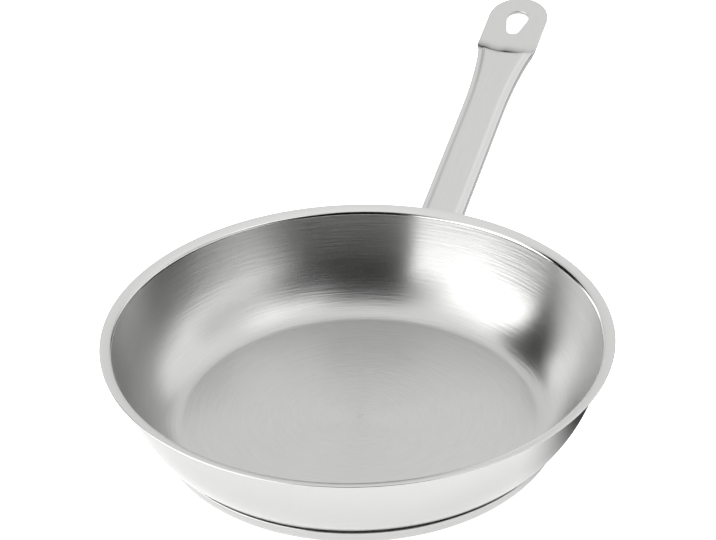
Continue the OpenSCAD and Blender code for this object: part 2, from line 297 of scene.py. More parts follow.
def bowl_line(p):
    """The bowl's inner face as rows of radius, height and slope, from the axis to the rim's
    edge: a level floor, a cubic curve up the wall, the bend and the slightly hollow lip."""
    wall_r = p.rim_r - p.lip
    floor_r = wall_r - p.flare
    bend_in = p.bend_r + p.sheet
    end_r = p.rim_r - p.sheet / 2 * (1 + math.sin(p.edge_tilt))
    end_z = p.height - p.sheet / 2 * (1 - math.cos(p.edge_tilt))
    lip_arc = end_r - wall_r - bend_in * (math.sin(p.tilt) - math.sin(p.root_tilt))
    lip_arc /= math.sin(p.root_tilt) - math.sin(p.edge_tilt)
    root_z = end_z - lip_arc * (math.cos(p.edge_tilt) - math.cos(p.root_tilt))
    wall_z = root_z - bend_in * (math.cos(p.root_tilt) - math.cos(p.tilt))
    poles = np.array([
        [floor_r, p.floor_z],
        [floor_r + p.cove, p.floor_z],
        [wall_r - p.reach * math.cos(p.tilt), wall_z - p.reach * math.sin(p.tilt)],
        [wall_r, wall_z],
    ])
    u = np.linspace(0, 1, WALL_STEPS + 1)[:, None]
    place = (1 - u) ** 3 * poles[0] + 3 * u * (1 - u) ** 2 * poles[1]
    place = place + 3 * u * u * (1 - u) * poles[2] + u**3 * poles[3]
    run = (1 - u) ** 2 * (poles[1] - poles[0]) + 2 * u * (1 - u) * (poles[2] - poles[1])
    run = run + u * u * (poles[3] - poles[2])
    wall = np.c_[place, np.arctan2(run[:, 1], run[:, 0])]
    bend_slopes = even_slopes(p.tilt, p.root_tilt, BEND_STEPS)
    bend = arc_rows(wall_r, wall_z, bend_in, p.tilt, bend_slopes)
    lip_slopes = even_slopes(p.root_tilt, p.edge_tilt, LIP_STEPS)
    lip = arc_rows(end_r, end_z, lip_arc, p.edge_tilt, lip_slopes)
    floor = np.array([[floor_r * i / FLOOR_STEPS, p.floor_z, 0] for i in range(FLOOR_STEPS)])
    return np.vstack([floor, wall, bend, lip])


def set_off(line, out):
    """The line moved square to itself, away from the inner face."""
    return np.c_[line[:, 0] + out * np.sin(line[:, 2]), line[:, 1] - out * np.cos(line[:, 2])]


def bowl_skin(p):
    """The closed profile of the bowl, inner face, round edge and outer face, and the number of
    its points on the inner face."""
    line = bowl_line(p)
    middle = set_off(line[-1:], p.sheet / 2)[0]
    a = line[-1, 2] + np.pi / 2 - np.pi * np.arange(1, EDGE_STEPS) / EDGE_STEPS
    edge = middle + p.sheet / 2 * np.c_[np.cos(a), np.sin(a)]
    outer = set_off(line, p.sheet)[::-1]
    return np.vstack([line[:, :2], edge, outer]), len(line)


def outer_wall(p):
    """Height, radius and slope along the outer face of the wall, from low to high."""
    line = bowl_line(p)[FLOOR_STEPS : FLOOR_STEPS + WALL_STEPS + 1]
    face = set_off(line, p.sheet)
    return face[:, 1], face[:, 0], line[:, 2]


def cap_profile(p, steps=16):
    """The closed profile of the cap: from the middle of its upper face out under the heat
    spreader, up to a rounded edge, and back along its underside."""
    a = np.pi / 2 * np.arange(steps + 1) / steps
    centre = np.array([p.radius - p.corner_r, p.corner_r])
    outside = centre + p.corner_r * np.c_[np.sin(a), -np.cos(a)]
    inside = centre + (p.corner_r - p.sheet) * np.c_[np.sin(a), -np.cos(a)]
    lip_r = p.sheet / 2
    b = np.pi * np.arange(steps + 1) / steps
    edge = np.array([p.radius - lip_r, p.top_z - lip_r]) + lip_r * np.c_[-np.cos(b), np.sin(b)]
    floor_in = np.array([[centre[0] * i / 4, p.sheet] for i in range(4)])
    floor_out = np.array([[centre[0] * i / 4, 0] for i in range(4)])
    return np.vstack([floor_in, inside, edge, outside[::-1], floor_out[::-1]])


# The handle

# Steps of the section, chosen so that the top and the underside have equally many points
PANEL_STEPS, SHOULDER_STEPS, ARC_STEPS, SIDE_STEPS, FILLET_STEPS, UNDER_STEPS = 6, 8, 5, 2, 5, 4
# Stations along the grip, the flare, the crease and the start of the tab
STATIONS = (40, 60, 46, 10)
# Steps round each corner of the foot, and rings over its front
CORNER_STEPS, FOOT_RINGS = 13, 32
# The crease lies a little before the tab's corner and wanders in two waves, each with a height,
# the width of one radian and a start
CREASE_BACK, CREASE_WIDTH = 0.1 * MM, 0.6 * MM
CREASE_WAVES = ((0.22 * MM, 1.9 * MM, 0.7), (0.16 * MM, 0.83 * MM, 2.1))
# It was pressed evenly, harder round two places across it, and less towards its right end
EVEN_PRESS, HARD_PRESSES, PRESS_WIDTH = 0.65, ((-13 * MM, 0.25), (1 * MM, 0.35)), 3.5 * MM
PRESS_LOSS, LOSS_START, LOSS_END = 0.7, 7 * MM, 13 * MM
# Depth of the dimple that a spot weld leaves, and its flat and whole radius in weld diameters
DIMPLE, DIMPLE_FLAT, DIMPLE_EDGE = 0.22 * MM, 0.36, 0.5
# How far a weld's heat tint reaches, in weld diameters
HEAT_REACH = 1.1
# How far the painted shade of the crease spreads towards the panel and the tab, and its share on the tab
NEAR_SPREAD, FAR_SPREAD, FAR_SHARE = 1.5 * MM, 3.2 * MM, 0.55
# Strength of the painted shade line along the left shoulder on the grip, and what the flare adds to it
GRIP_SHADE_LINE, FLARE_SHADE_LINE = 0.16, 0.16
# Where the painted shade of the sides starts under the level strip, and over what height it comes in
SIDE_SHADE_START, SIDE_SHADE_HEIGHT = 0.2 * MM, 0.5 * MM
# Brightness of the panel, and the painted sheen that the right and left level strips have over it
PANEL_POLISH, RIGHT_STRIP_SHEEN, LEFT_STRIP_SHEEN = 0.92, 0.1, 0.02


def bell(u):
    """A bell curve: 1 at 0, and nearly 0 from 2 on."""
    return np.exp(-(u**2))


def edge_arc(r):
    """How far the points of a rounded edge lie inside it and under its face, face to side."""
    arc = np.pi / 2 * np.arange(ARC_STEPS + 1) / ARC_STEPS
    return [(r * (1 - math.sin(b)), r * (1 - math.cos(b))) for b in arc]


def sunk(bowl):
    """How deep the handle's end and its foot stand in the wall's sheet, so no gap shows."""
    return bowl.sheet / 3


def half_width(p, s):
    """Half of the handle's width: even along the grip, then the square of the way through the
    flare, with the tab's corners standing out at its end."""
    u = np.clip((s - p.reach + p.tab + p.flare) / p.flare, 0, 1)
    return p.width / 2 + ((p.tab_width - p.width) / 2 - p.corner_out) * u**2 + p.corner_out * u**16


def half_chains(p, s):
    """Half of the section at each station s, as x and h: the top from the middle to the edge,
    the edge with its side, and the underside from the edge back to the middle."""
    s = np.asarray(s, float)[:, None]
    corner = p.reach - p.tab
    w = half_width(p, s)
    rise = 1 - ease(s, corner - p.step, corner)
    grip = 1 - ease(s, corner - 2 * p.step, corner)
    skirt = p.sheet + (p.skirt - p.sheet) * grip
    r = p.tab_edge_r + (p.edge_r - p.tab_edge_r) * grip
    low, up = -p.rise, -p.rise * (1 - rise)
    foot_x = w - p.flange

    def run(x, h):
        return np.stack(np.broadcast_arrays(x + 0 * s, h + 0 * s), -1)

    # the panel, the shoulder and the level strip
    v = np.linspace(0, 1, PANEL_STEPS + 1)
    panel = run((foot_x - p.shoulder) * v, up + 0 * v)
    v = np.linspace(0, 1, SHOULDER_STEPS + 1)[1:]
    shoulder = run(foot_x - p.shoulder * (1 - v), up + (low - up) * v**3 * (10 - 15 * v + 6 * v * v))
    halves = np.array([0.5, 1.0])
    strip = run(foot_x + (p.flange - r) * halves, low + 0 * halves)
    top = np.concatenate([panel, shoulder, strip], 1)
    # the round upper edge, the side and the round lower edge
    a = np.pi / 2 * np.arange(1, ARC_STEPS + 1) / ARC_STEPS
    b = p.burr_r
    v = np.arange(1, SIDE_STEPS + 1) / SIDE_STEPS
    upper = run(w - r + r * np.sin(a), low - r + r * np.cos(a))
    side = run(w + 0 * v, low - r + (r - skirt + b) * v)
    lower = run(w - b + b * np.cos(a), low - skirt + b - b * np.sin(a))
    edge = np.concatenate([upper, side, lower], 1)
    # under the sheet: the inner corner, a hollow fillet, the strip, the shoulder and the panel
    inner = w - p.sheet
    under = low - p.sheet
    in_x = w - p.flange - p.sheet * math.tan(math.atan(p.rise / p.shoulder) / 2)
    fillet = (inner - in_x) / 2
    v = np.arange(FILLET_STEPS + 1) / FILLET_STEPS
    hollow = run(inner - fillet * v, under - (skirt - p.sheet) * (1 - v) ** 2)
    under_strip = run(inner - fillet + (in_x - inner + fillet) * halves, under + 0 * halves)
    v = np.arange(1, UNDER_STEPS + 1) / UNDER_STEPS
    under_shoulder = run(in_x - p.shoulder * v, under + (up - low) * v * v * (3 - 2 * v))
    under_panel = run((in_x - p.shoulder) * (1 - v), up - p.sheet + 0 * v)
    below = np.concatenate([hollow, under_strip, under_shoulder, under_panel], 1)
    return top, edge, below, w


def bend_drop(s, end, r):
    """How far a face has turned down at s, on a quarter circle of radius r that ends at end."""
    t = np.clip(end + r - s, 0, r)
    return r - np.sqrt(np.maximum(r * r - t * t, 0))


def handle_place(p, bowl, x, s, h):
    """Turns across, along and up of the handle's frame into the pan's x, y and z."""
    c, d = math.cos(p.slope), math.sin(p.slope)
    y = bowl.rim_r + s * c - h * d
    z = bowl.height - p.drop + s * d + h * c
    return np.stack([x + 0 * s, y, z], -1)


def handle_stations(p, root):
    """Stations along the handle, close together at the bend, the flare and the crease."""
    corner = p.reach - p.tab
    joint = corner + p.tab / 5
    stops = (root + p.bend_r, corner - p.flare, corner - 3 * p.step, corner + 1.5 * p.step, joint)
    parts = [root + p.bend_r * (1 - np.cos(np.linspace(0, np.pi / 2, 9)))]
    for first, last, count in zip(stops, stops[1:], STATIONS):
        parts.append(np.linspace(first, last, count)[1:])
    return np.concatenate(parts)


def crease_wander(x):
    """How far the crease, pressed by hand-set tooling, wanders along the handle: the sum of a
    few sine waves across it."""
    return sum(height * np.sin(x / width + start) for height, width, start in CREASE_WAVES)


def crease_strength(x):
    """How hard the crease was pressed across the handle: bell curves over an even press, which
    loses a share towards the right end."""
    press = EVEN_PRESS
    for place, more in HARD_PRESSES:
        press = press + more * bell((x - place) / PRESS_WIDTH)
    return press * (1 - PRESS_LOSS * ease(x, LOSS_START, LOSS_END))


def handle_loft(p, bowl, root):
    """Points and faces of the handle from the wall to the joint with the tab, and what the tab
    takes up there. The section is carried along the stations, bowed back at the crease by a
    parabola across its width."""
    s = handle_stations(p, root)
    corner = p.reach - p.tab
    joint = s[-1]
    top, edge, below, w = half_chains(p, s)
    half = np.concatenate([top, edge, below], 1)
    under = np.arange(half.shape[1]) >= top.shape[1] + edge.shape[1]
    mirrored = half[:, 1:-1][:, ::-1] * [-1, 1]
    loop = np.concatenate([half, mirrored], 1)
    is_under = np.concatenate([under, under[1:-1][::-1]])
    x, h = loop[..., 0], loop[..., 1]
    station = s[:, None] + 0 * x
    # past its bend the underside laps into the foot
    lap = p.sheet / 2 * np.clip((root + p.sheet - station) / p.sheet, 0, 1)
    under_drop = bend_drop(station, root + p.sheet, p.bend_r - p.sheet) + lap
    drop = np.where(is_under[None, :], under_drop, bend_drop(station, root, p.bend_r))
    bow = ease(station, corner - p.flare / 2, corner - p.step) * (1 - ease(station, corner, joint))
    along = station - p.bow * bow * (1 - (x / w) ** 2)
    depth = p.crease * crease_strength(x)
    valley = depth * bell((station - corner + CREASE_BACK - crease_wander(x)) / CREASE_WIDTH)
    on_top = np.abs(h + p.rise) < p.rise * 1.2
    valley = np.where(~is_under[None, :] & on_top, valley, 0)
    points = handle_place(p, bowl, x, along, h - drop - valley)
    # the first ring ends inside the wall's sheet
    heights, radii, _ = outer_wall(bowl)
    first_x, first_h = x[0], (h - drop)[0]
    reach = np.full(first_x.shape, s[0])
    for _ in range(6):
        spot = handle_place(p, bowl, first_x, reach, first_h)
        r = np.interp(spot[:, 2], heights, radii) - sunk(bowl)
        reach = reach + (np.sqrt(r * r - first_x**2) - spot[:, 1]) / math.cos(p.slope)
    end = handle_place(p, bowl, first_x, reach, first_h)
    points = np.concatenate([end[None], points])
    rows, n = points.shape[:2]
    faces = list(sheet_grid(rows, n, around=True))
    # the end is closed by strips across the sheet and one face over each side
    tops, edges = top.shape[1], edge.shape[1]
    m = half.shape[1]
    a = np.arange(tops - 1)
    right = np.stack([a, m - 1 - a, m - 2 - a, a + 1], -1)
    other = (n - right) % n
    faces += list(right) + list(other[:, ::-1])
    side = np.arange(tops - 1, tops + edges)
    faces += [side[::-1], (n - side) % n]
    return points.reshape(-1, 3), faces, top[-1], edge[-1], below[-1], joint


def eye_radius(p, angles, grow):
    """Distance from the eye's middle to its outline, grown by a width, in each direction: the
    farthest point of a wide circle, a narrow circle and the straight flanks between them."""
    wide, narrow = p.eye_width / 2 + grow, p.eye_narrow / 2 + grow
    middle = p.reach - p.eye_inset - p.eye / 2
    wide_s = p.reach - p.eye_inset - p.eye_width / 2 - middle
    narrow_s = p.reach - p.eye_inset - p.eye + p.eye_narrow / 2 - middle
    direction = np.stack([np.cos(angles), np.sin(angles)], -1)
    far = np.zeros(len(angles))
    for radius, centre in ((wide, wide_s), (narrow, narrow_s)):
        along = direction[:, 1] * centre
        inside = along**2 + radius**2 - centre**2
        far = np.maximum(far, np.where(inside > 0, along + np.sqrt(np.maximum(inside, 0)), 0))
    lean = math.asin((wide - narrow) / (wide_s - narrow_s))
    square = np.array([math.cos(lean), -math.sin(lean)])
    facing = np.abs(direction[:, 0]) * square[0] + direction[:, 1] * square[1]
    flank = (wide + square[1] * wide_s) / np.maximum(facing, 1e-9)
    touch = flank * direction[:, 1]
    within = (touch > narrow_s + narrow * square[1]) & (touch < wide_s + wide * square[1])
    return np.where(within, flank, far), middle


def tab_skin(p, bowl, top, edge, below, joint):
    """Points and faces of the flat tab: a ring-shaped skin round the eye. Each spoke of it
    runs from the outline over the top to the eye, down through it and back underneath. The
    spokes at the joint start on the handle's last section and have no outer side."""
    half = p.tab_width / 2
    tip = p.reach - half
    low = -p.rise
    bottom = low - p.sheet
    # the outline from the right end of the joint round the tip to the left end
    up_steps, tip_steps = 12, 72
    rise = np.linspace(joint, tip, up_steps, endpoint=False)
    a = np.linspace(0, np.pi, tip_steps + 1)
    centre_s = np.concatenate([rise, tip + 0 * a, rise[::-1]])
    turn = np.concatenate([np.zeros(up_steps), a, np.full(up_steps, np.pi)])

    def outline(inset):
        reach = half - inset
        return np.stack([reach * np.cos(turn), centre_s + reach * np.sin(turn)], -1)

    joint_top = np.stack([top[:, 0], np.full(len(top), joint)], -1)
    joint_low = np.stack([below_x(edge, below), np.full(len(top), joint)], -1)
    left = [-1, 1]
    start_top = np.vstack([joint_top[:-1], outline(p.tab_edge_r), (joint_top[:-1] * left)[:0:-1]])
    start_low = np.vstack([joint_low[:-1], outline(p.burr_r), (joint_low[:-1] * left)[:0:-1]])
    r = p.tab_edge_r
    _, middle = eye_radius(p, np.zeros(1), 0)
    spoke = np.arctan2(start_top[:, 1] - middle, start_top[:, 0])
    rounding = edge_arc(r)

    def eye_ring(grow):
        far, _ = eye_radius(p, spoke, grow)
        return np.stack([far * np.cos(spoke), middle + far * np.sin(spoke)], -1)

    shares = np.linspace(0, 1, 8)[:-1]
    rows = [start_top * (1 - v) + eye_ring(r) * v for v in shares]
    rows += [eye_ring(grow) for grow, _ in rounding + rounding[::-1]]
    rows += [start_low * (1 - v) + eye_ring(r) * v for v in shares[::-1]]
    heights = [low] * len(shares) + [low - sink for _, sink in rounding]
    heights += [bottom + sink for _, sink in rounding[::-1]] + [bottom] * len(shares)
    ring = np.stack(rows)
    h = np.array(heights)[:, None] + 0 * ring[..., 0]
    points = handle_place(p, bowl, ring[..., 0], ring[..., 1], h)
    faces = list(sheet_grid(len(rows), ring.shape[1], around=True))
    # the outer side along the outline, as the side of the handle's last section runs
    insets = half - edge[:, 0]
    side = np.stack([outline(inset) for inset in np.concatenate([[r], insets])])
    side_h = np.concatenate([[low], edge[:, 1]])[:, None] + 0 * side[..., 0]
    side_points = handle_place(p, bowl, side[..., 0], side[..., 1], side_h)
    points = points.reshape(-1, 3)
    side_faces = sheet_grid(len(side), side.shape[1], start=len(points))[:, ::-1]
    return np.vstack([points, side_points.reshape(-1, 3)]), faces + list(side_faces)


def below_x(edge, below):
    """The x of the underside's points from the middle out to the rounded lower edge."""
    return np.concatenate([below[::-1, 0], edge[-1:, 0]])


def foot_skin(p, bowl, cap, root_z):
    """Points and faces of the foot, and its weld marks: a plate whose outline is two pairs of
    round corners, laid on the wall's outer face, with a shallow round dimple at each weld."""
    heights, radii, slopes = outer_wall(bowl)
    top_z = root_z - p.bend_r
    groove = np.interp(cap.radius - cap.sheet, radii, heights)
    tall = top_z - groove - p.foot_clear
    low_r = min(p.foot_corner_r, tall - p.foot_top_r)
    half = p.foot_width / 2
    high, low = top_z - p.foot_top_r, top_z - tall + low_r
    # each corner's side, height, radius and first direction
    corners = (
        (1, high, p.foot_top_r, 0), (-1, high, p.foot_top_r, 90),
        (-1, low, low_r, 180), (1, low, low_r, 270),
    )
    quarter = np.linspace(0, 90, CORNER_STEPS + 1)

    def outline(inset):
        parts = []
        for side, z, r, first in corners:
            a = np.radians(first + quarter)
            x = side * (half - r) + (r - inset) * np.cos(a)
            parts.append(np.stack([x, z + (r - inset) * np.sin(a)], -1))
        return np.vstack(parts)

    centre = np.array([0, top_z - tall / 2])
    r = p.tab_edge_r
    # the shares of the way from the middle, out over the front and in again at the back
    front, back = np.linspace(0, 1, FOOT_RINGS + 2)[1:-1], (1, 0.66, 0.33)
    rows = [centre + (outline(r) - centre) * v for v in front]
    rows += [outline(inset) for inset, _ in edge_arc(r)]
    rows += [centre + (outline(0) - centre) * v for v in back]
    outs = [p.sheet] * len(front) + [p.sheet - sink for _, sink in edge_arc(r)]
    outs += [-sunk(bowl)] * len(back)
    flat = np.stack(rows)
    out = np.array(outs)[:, None] + 0 * flat[..., 0]
    marks = weld_marks(p, top_z, tall)
    for x, z in marks:
        near = np.hypot(flat[..., 0] - x, flat[..., 1] - z)
        dimple = DIMPLE * (1 - ease(near, p.weld_d * DIMPLE_FLAT, p.weld_d * DIMPLE_EDGE))
        out = out - np.where(out > p.sheet / 2, dimple, 0)

    def on_wall(xz, off):
        x, z = xz[..., 0], xz[..., 1]
        lean = np.interp(z, heights, slopes)
        reach = np.interp(z, heights, radii) + off * np.sin(lean)
        return np.stack([x, np.sqrt(reach**2 - x**2), z - off * np.cos(lean)], -1)

    points = on_wall(flat, out).reshape(-1, 3)
    n = flat.shape[1]
    ends = np.stack([on_wall(centre, p.sheet), on_wall(centre, -sunk(bowl))])
    j = np.arange(n)
    front_fan = fan(len(points), j)[:, [0, 2, 1]]
    back_fan = fan(len(points) + 1, (len(rows) - 1) * n + j)
    faces = [*sheet_grid(len(rows), n, around=True), *front_fan, *back_fan]
    return np.vstack([points, ends]), faces, marks


def vertex_places(piece):
    """x, y and z of all the piece's points."""
    places = np.empty(len(piece.data.vertices) * 3, np.float32)
    piece.data.vertices.foreach_get("co", places)
    return places.reshape(-1, 3).T


def paint(piece, name, value):
    """Writes a number for each of the piece's points as an attribute."""
    attribute = piece.data.attributes.new(name, "FLOAT", "POINT")
    attribute.data.foreach_set("value", value.astype(np.float32))


def paint_heat(piece, p, marks):
    """The heat that each spot weld left, from 1 at its middle to 0 about a weld's width away,
    and none on the handle above the foot."""
    x, _, z = vertex_places(piece)
    heat = np.zeros(len(x), np.float32)
    spread = HEAT_REACH * p.weld_d
    for mark_x, mark_z in marks:
        near = np.hypot(x - mark_x, z - mark_z)
        heat = np.maximum(heat, np.clip(1 - near / spread, 0, 1))
    heat[z > max(mark_z for _, mark_z in marks) + spread] = 0
    paint(piece, "heat", heat)


def paint_shade_and_sheen(piece, p, bowl):
    """Painted shade and sheen for the handle's colour. "crease" is painted shade: in the crease, a bell
    curve from its middle to some two millimetres on the panel and five on the tab, and faintly along the
    groove of the left shoulder. "under" is painted shade, from 0 on the rounded edge to 1 on the cut
    sides and below. "polish" is the panel's brightness with a painted sheen on the level strips beside it."""
    x, y, z = vertex_places(piece)
    c, d = math.cos(p.slope), math.sin(p.slope)
    out, up = y - bowl.rim_r, z - bowl.height + p.drop
    along, h = out * c + up * d, up * c - out * d
    corner = p.reach - p.tab
    bow = p.bow * (1 - (2 * x / p.tab_width) ** 2)
    past = along - (corner - CREASE_BACK + crease_wander(x) - bow)
    shade_tail = np.where(past > 0, FAR_SHARE * bell(past / FAR_SPREAD), 0)
    crease = crease_strength(x) * np.maximum(bell(past / NEAR_SPREAD), shade_tail)
    grip = 1 - ease(along, corner - 2.5 * p.step, corner - p.step)
    foot = half_width(p, along) - p.flange
    from_line = (x + foot - 0.3 * p.shoulder) / (0.4 * p.shoulder)
    line = (GRIP_SHADE_LINE + FLARE_SHADE_LINE * ease(along, corner - p.flare, corner)) * bell(from_line) * grip
    crease = np.maximum(crease, line)
    crease[h < -p.rise - p.sheet / 2] = 0
    strip = ease(np.abs(x), foot - p.shoulder, foot) * grip
    # painted shade in the crease and along the groove of the left shoulder
    paint(piece, "crease", crease)
    # painted shade on the cut sides and the underside
    paint(piece, "under", np.clip((-p.rise - SIDE_SHADE_START - h) / SIDE_SHADE_HEIGHT, 0, 1))
    # painted sheen: the level strips beside the panel are brighter, the right one more
    paint(piece, "polish", PANEL_POLISH + strip * np.where(x > 0, RIGHT_STRIP_SHEEN, LEFT_STRIP_SHEEN))


def weld_marks(p, top_z, tall):
    """x and z of the four spot welds, two above and two below."""
    marks = []
    for row in (0, 1):
        z = top_z - p.weld_inset - row * (tall - 2 * p.weld_inset)
        for side in (-1, 1):
            marks.append((side * (p.weld_span - row * p.weld_taper) / 2, z))
    return marks


# Metals


def metal(name, base, roughness):
    """A new metal. Metals keep the shader's own IOR."""
    material = bpy.data.materials.new(name)
    material.use_nodes = True
    shader = material.node_tree.nodes["Principled BSDF"]
    shader.inputs["Base Color"].default_value = (*base, 1)
    shader.inputs["Metallic"].default_value = 1
    shader.inputs["Roughness"].default_value = roughness
    return material, material.node_tree, shader


def turned_coordinates(tree, around, width):
    """Coordinates for lines that run round the axis: a pattern changes slowly with the
    direction from the axis, and over one line's width along the profile. Returns them with
    the direction and the height."""
    where = add_node(tree, "ShaderNodeTexCoord").outputs["Object"]
    x, y, height = add_node(tree, "ShaderNodeSeparateXYZ", {0: where}).outputs
    flat = add_node(tree, "ShaderNodeCombineXYZ", {0: x, 1: y}).outputs[0]
    radius = add_node(tree, "ShaderNodeVectorMath", {0: flat}, operation="LENGTH").outputs["Value"]
    direction = add_node(tree, "ShaderNodeVectorMath", {0: flat}, operation="NORMALIZE").outputs[0]
    turned = add_node(tree, "ShaderNodeVectorMath", {
        0: direction, "Scale": around}, operation="SCALE").outputs[0]
    run = add_node(tree, "ShaderNodeMath", {0: radius, 1: height}, operation="ADD").outputs[0]
    steps = add_node(tree, "ShaderNodeMath", {0: run, 1: 1 / width}, operation="MULTIPLY").outputs[0]
    lift = add_node(tree, "ShaderNodeCombineXYZ", {2: steps}).outputs[0]
    vector = add_node(tree, "ShaderNodeVectorMath", {0: turned, 1: lift}, operation="ADD").outputs[0]
    return vector, direction, height


def grain(tree, shader, vector, base, roughness, tint, dull, dent):
    """Fine lines from one noise. They tint the metal by the share tint, vary its roughness by
    dull either way and dent it by the depth dent."""
    value = add_node(tree, "ShaderNodeTexNoise", {
        "Vector": vector, "Scale": 1.0, "Detail": 2.0, "Roughness": 0.6}).outputs["Fac"]
    dark = [c * (1 - tint) for c in base]
    light = [min(1, c * (1 + tint)) for c in base]
    tone = add_node(tree, "ShaderNodeMix", {0: value, 6: (*dark, 1), 7: (*light, 1)}, data_type="RGBA")
    tree.links.new(tone.outputs[2], shader.inputs["Base Color"])
    rough = add_node(tree, "ShaderNodeMapRange", {
        0: value, 1: 0.25, 2: 0.75, 3: roughness - dull, 4: roughness + dull})
    tree.links.new(rough.outputs[0], shader.inputs["Roughness"])
    bump = add_node(tree, "ShaderNodeBump", {"Height": value, "Distance": dent, "Strength": 1.0})
    tree.links.new(bump.outputs[0], shader.inputs["Normal"])


def turned_metal(name, base, roughness, around, line, **lines):
    """A metal whose fine lines run round the axis, each as wide as line."""
    material, tree, shader = metal(name, base, roughness)
    vector = turned_coordinates(tree, around, line)[0]
    grain(tree, shader, vector, base, roughness, **lines)
    return material


# Height from which the wall's shading eases off, and the rate that the square of the rest takes
EASE_START, EASE_RATE = 30 * MM, 4.0


def brushed_steel(finishes):
    """Stainless steel brushed round the axis with a belt of about 240 grit. The lines spread
    each highlight across themselves, so bright and dark patches become tall streaks on the
    wall, and the floor mirrors an almost even grey."""
    material, tree, shader = metal("brushed_stainless_steel", finishes.steel, finishes.brushed)
    # a real line is 0.06 mm wide, drawn at 0.4 to 1.4 mm so that it shows
    vector, direction, height = turned_coordinates(tree, 4.0, 1.4 * MM)
    tangent = add_node(tree, "ShaderNodeVectorMath", {0: (0, 0, 1), 1: direction}, operation="CROSS_PRODUCT")
    tree.links.new(tangent.outputs[0], shader.inputs["Tangent"])
    # the quarter turn lays the spread across the lines
    shader.inputs["Anisotropic"].default_value = 0.78
    shader.inputs["Anisotropic Rotation"].default_value = 0.25
    grain(tree, shader, vector, finishes.steel, finishes.brushed, tint=0.06, dull=0.005, dent=0.1 * MM)
    # the pressed wall eases off by some 9 degrees over its last 20 mm under the rim
    over = add_node(tree, "ShaderNodeMath", {0: height, 1: EASE_START}, operation="SUBTRACT").outputs[0]
    upper = add_node(tree, "ShaderNodeMath", {0: over, 1: 0.0}, operation="MAXIMUM").outputs[0]
    square = add_node(tree, "ShaderNodeMath", {0: upper, 1: upper}, operation="MULTIPLY").outputs[0]
    ease_off = add_node(tree, "ShaderNodeMath", {0: square, 1: -EASE_RATE}, operation="MULTIPLY").outputs[0]
    lines = shader.inputs["Normal"].links[0].from_socket
    wall = add_node(tree, "ShaderNodeBump", {
        "Height": ease_off, "Distance": 1.0, "Strength": 1.0, "Normal": lines})
    tree.links.new(wall.outputs[0], shader.inputs["Normal"])
    return material


def satin_steel(finishes):
    """Stainless steel with a fine satin polish, which softens what it mirrors evenly."""
    return turned_metal(
        "satin_stainless_steel", finishes.satin_tone, finishes.satin,
        around=3.0, line=0.7 * MM, tint=0.03, dull=0.012, dent=0.002 * MM,
    )


def polished_steel(finishes):
    """Stainless steel buffed on a lathe: near a mirror, with faint turned lines."""
    return turned_metal(
        "polished_stainless_steel", finishes.steel, finishes.polished,
        around=1.5, line=1.4 * MM, tint=0.015, dull=0.02, dent=0.0006 * MM,
    )


# What heat multiplies the steel's colour by, from cool to the middle of a weld
HEAT_TINTS = (
    (0.15, "#ffffff"),
    (0.35, "#f3e3c0"),
    (0.5, "#d9b98f"),
    (0.62, "#b4a6c4"),
    (0.75, "#a9b6c8"),
    (0.98, "#b9b7b3"),
)
# What the painted shade on the sides and in the crease multiplies it by
SIDE_SHADE_TINT, CREASE_SHADE_TINT = "#acacab", "#2a2a29"


def handle_steel(finishes, handle):
    """Pressed stainless steel with a satin finish brushed along its length, and a straw and
    brown heat tint round the spot welds of the foot. Painted shade darkens its crease, its left
    shoulder line, its cut sides and its underside, and a painted sheen lightens its level strips."""
    material, tree, shader = metal("satin_pressed_steel", finishes.satin_tone, finishes.satin)
    where = add_node(tree, "ShaderNodeTexCoord").outputs["Object"]
    level = add_node(tree, "ShaderNodeMapping", {
        "Vector": where, "Rotation": (-handle.slope, 0, 0)}).outputs[0]
    line, run = 0.6 * MM, 14 * MM
    fine = add_node(tree, "ShaderNodeVectorMath", {
        0: level, 1: (1 / line, 1 / run, 1 / line)}, operation="MULTIPLY").outputs[0]
    grain(tree, shader, fine, finishes.satin_tone, finishes.satin, tint=0.06, dull=0.012, dent=0.008 * MM)
    tone = shader.inputs["Base Color"].links[0].from_socket
    heat, under, crease, shade_and_sheen = [
        add_node(tree, "ShaderNodeAttribute", attribute_name=name).outputs["Fac"]
        for name in ("heat", "under", "crease", "polish")
    ]
    ramp = add_node(tree, "ShaderNodeValToRGB", {0: heat})
    for place, hex_colour in HEAT_TINTS:
        ramp.color_ramp.elements.new(place).color = (*linear(hex_colour), 1)
    ramp.color_ramp.elements[0].color = (1, 1, 1, 1)
    # painted shade: the cut sides, the underside and the crease are darkened
    for amount, hex_colour in ((under, SIDE_SHADE_TINT), (crease, CREASE_SHADE_TINT)):
        shade_and_sheen = add_node(tree, "ShaderNodeMix", {
            0: amount, 6: shade_and_sheen, 7: (*linear(hex_colour), 1)}, data_type="RGBA").outputs[2]
    for factor in (ramp.outputs[0], shade_and_sheen):
        tone = add_node(tree, "ShaderNodeMix", {
            0: 1.0, 6: tone, 7: factor}, data_type="RGBA", blend_type="MULTIPLY").outputs[2]
    tree.links.new(tone, shader.inputs["Base Color"])
    return material


def core_aluminium(finishes):
    """Rolled aluminium, dull grey at the turned edge that shows in the groove."""
    return turned_metal(
        "rolled_aluminium", finishes.aluminium, 0.45,
        around=3.0, line=0.4 * MM, tint=0.06, dull=0.06, dent=0.004 * MM,
    )


def braze_filler(finishes):
    """Brazing filler, a dull yellowish grey metal with a grainy edge."""
    return turned_metal(
        "brazing_filler", finishes.filler, 0.55,
        around=40.0, line=0.5 * MM, tint=0.10, dull=0.08, dent=0.01 * MM,
    )


